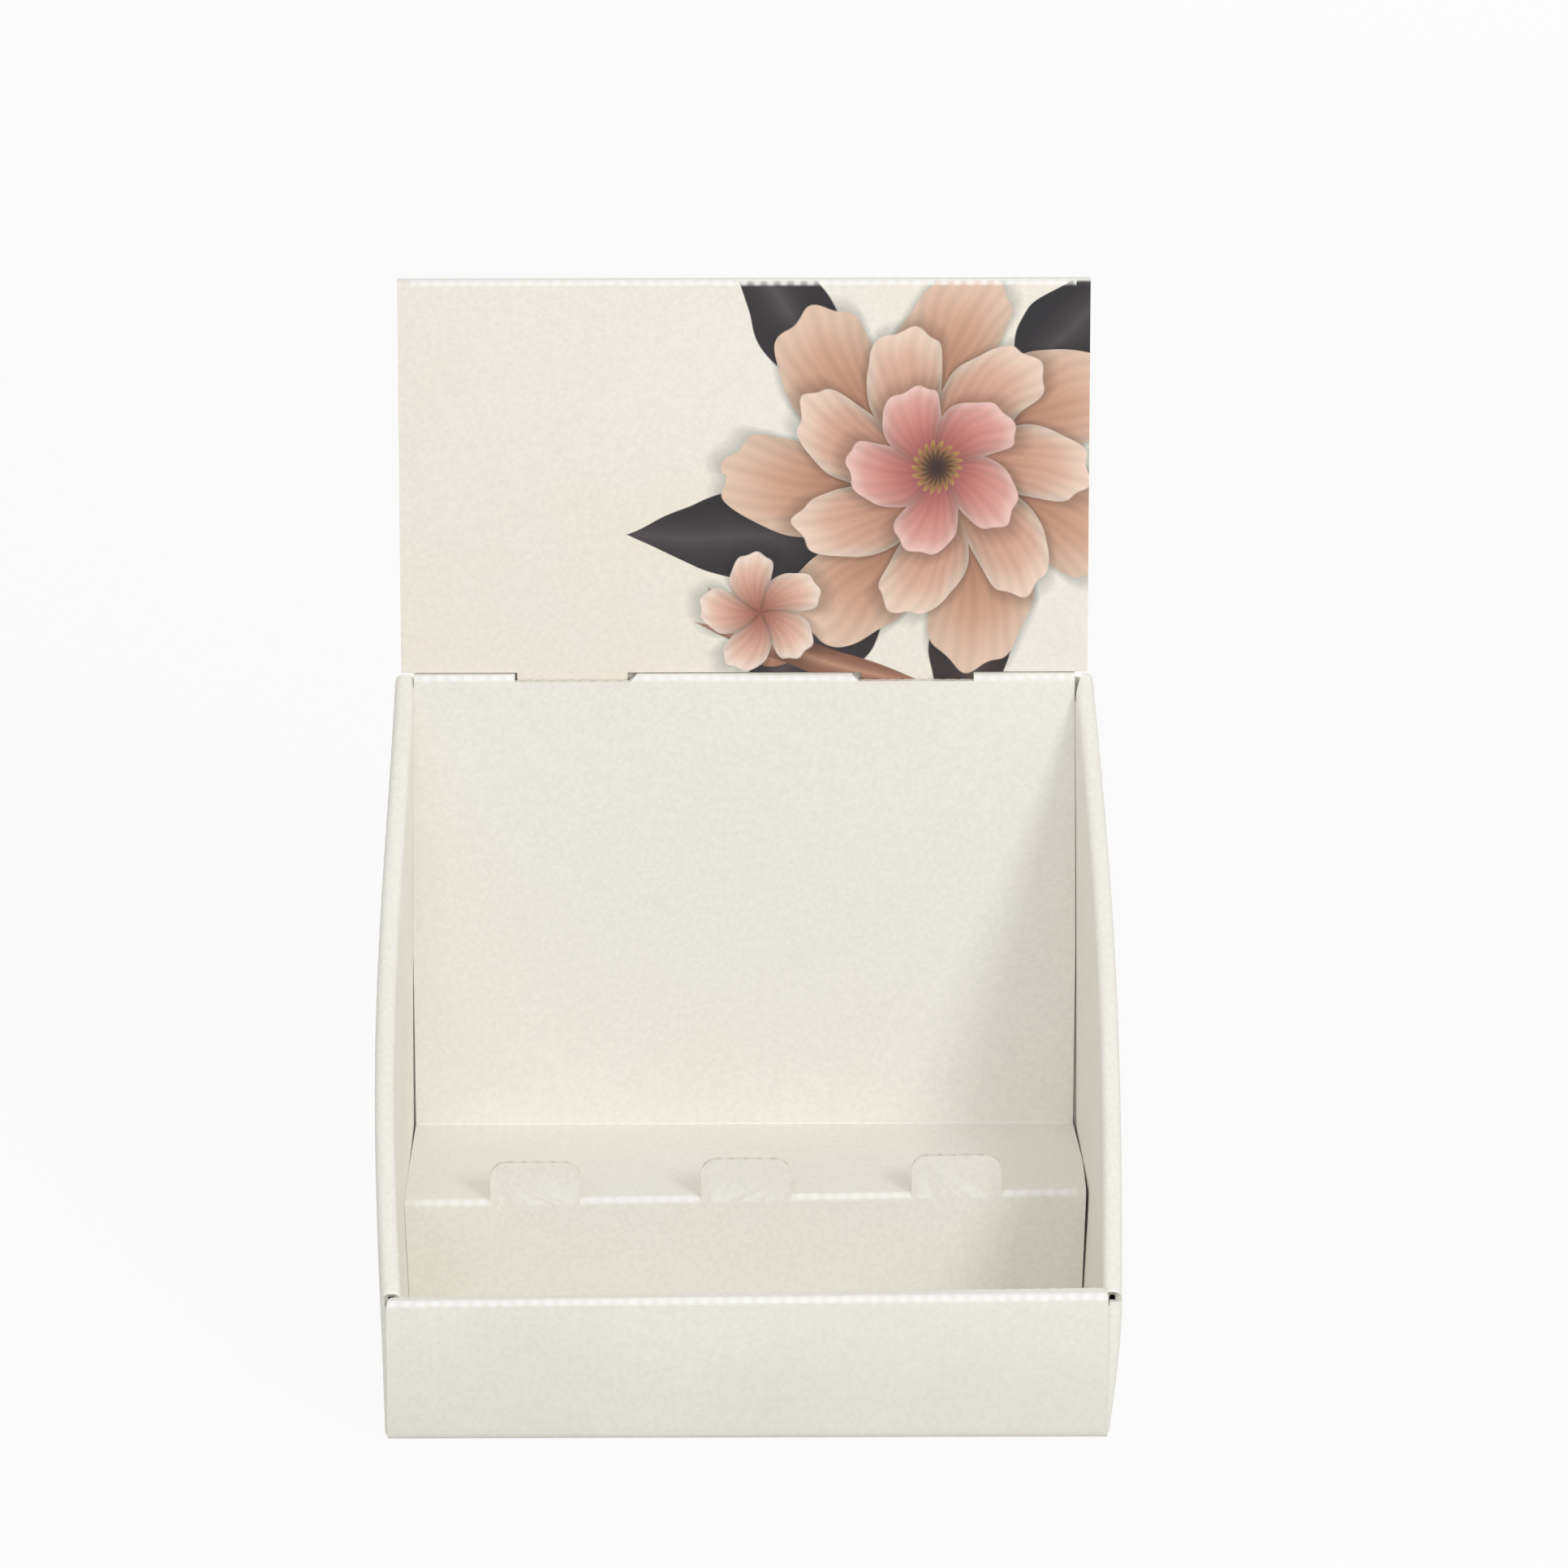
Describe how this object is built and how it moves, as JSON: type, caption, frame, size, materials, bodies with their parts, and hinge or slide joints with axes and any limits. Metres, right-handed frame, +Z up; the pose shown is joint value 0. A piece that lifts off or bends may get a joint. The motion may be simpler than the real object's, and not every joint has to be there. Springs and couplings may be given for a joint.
{
  "type": "counter display box",
  "caption": "Open counter display tray folded from corrugated board, with a low front lip, sloping sides, a rear step with stop tongues, and a header card plugged into its back rim.",
  "frame": {"origin": "middle of the underside of the base", "axes": "+Z up, the open front faces -Y, +X to the right as seen from the front"},
  "size_m": [0.1845, 0.13, 0.2592],
  "materials": {
    "tray_board": "matt white-lined corrugated board, slightly warm",
    "header_board": "printed and lightly varnished corrugated board, cream with a printed design at the right"
  },
  "bodies": {
    "root": {"folded_tray": "tray_board", "header_card": "header_board"}
  },
  "joints": []
}
